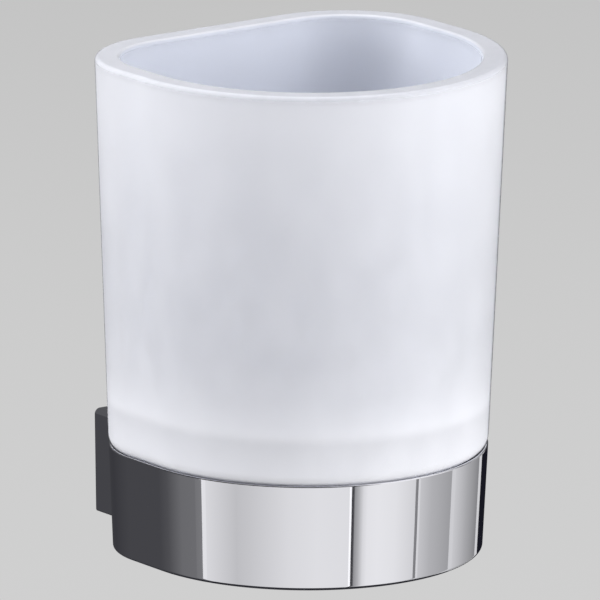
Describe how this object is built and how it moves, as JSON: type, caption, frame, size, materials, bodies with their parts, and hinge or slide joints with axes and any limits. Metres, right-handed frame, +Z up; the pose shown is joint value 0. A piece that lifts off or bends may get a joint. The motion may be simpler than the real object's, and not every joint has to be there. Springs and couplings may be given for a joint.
{
  "type": "tumbler holder",
  "caption": "Wall-mounted tumbler holder: a satin glass tumbler with a flat back and half-round front stands in a chrome ring on a chrome block over a concealed bracket.",
  "frame": {"origin": "on the wall's surface, midway between the two wall screws: the middle of the bracket's back face", "axes": "+Y into the wall, +Z up, +X to the right as seen from the room; the half-round front faces -Y"},
  "size_m": [0.0776, 0.0922, 0.0983],
  "materials": {
    "satin_glass": "acid-etched satin, milky",
    "chrome": "polished chrome plating on brass",
    "liner_plastic": "soft translucent plastic",
    "plated_steel": "zinc plated",
    "stainless": "plain stainless"
  },
  "bodies": {
    "wall_side": {"wall_bracket": "plated_steel", "bracket_screw_left": "stainless", "bracket_screw_right": "stainless"},
    "holder": {"wall_block": "chrome", "holder_ring": "chrome", "ring_screw_left": "stainless", "ring_screw_right": "stainless", "liner": "liner_plastic"},
    "grub_screw": {"grub_screw": "stainless"},
    "tumbler": {"tumbler": "satin_glass"}
  },
  "joints": [
    {"name": "tumbler_lift", "type": "slide", "parent": "holder", "child": "tumbler", "axis": [0, 0, 1], "range_m": [0, 0.05]},
    {"name": "holder_release", "type": "slide", "parent": "wall_side", "child": "holder", "axis": [0, -1, 0], "range_m": [0, 0.02]},
    {"name": "grub_screw_travel", "type": "slide", "parent": "holder", "child": "grub_screw", "axis": [0, 0, -1], "range_m": [0, 0.002]}
  ]
}
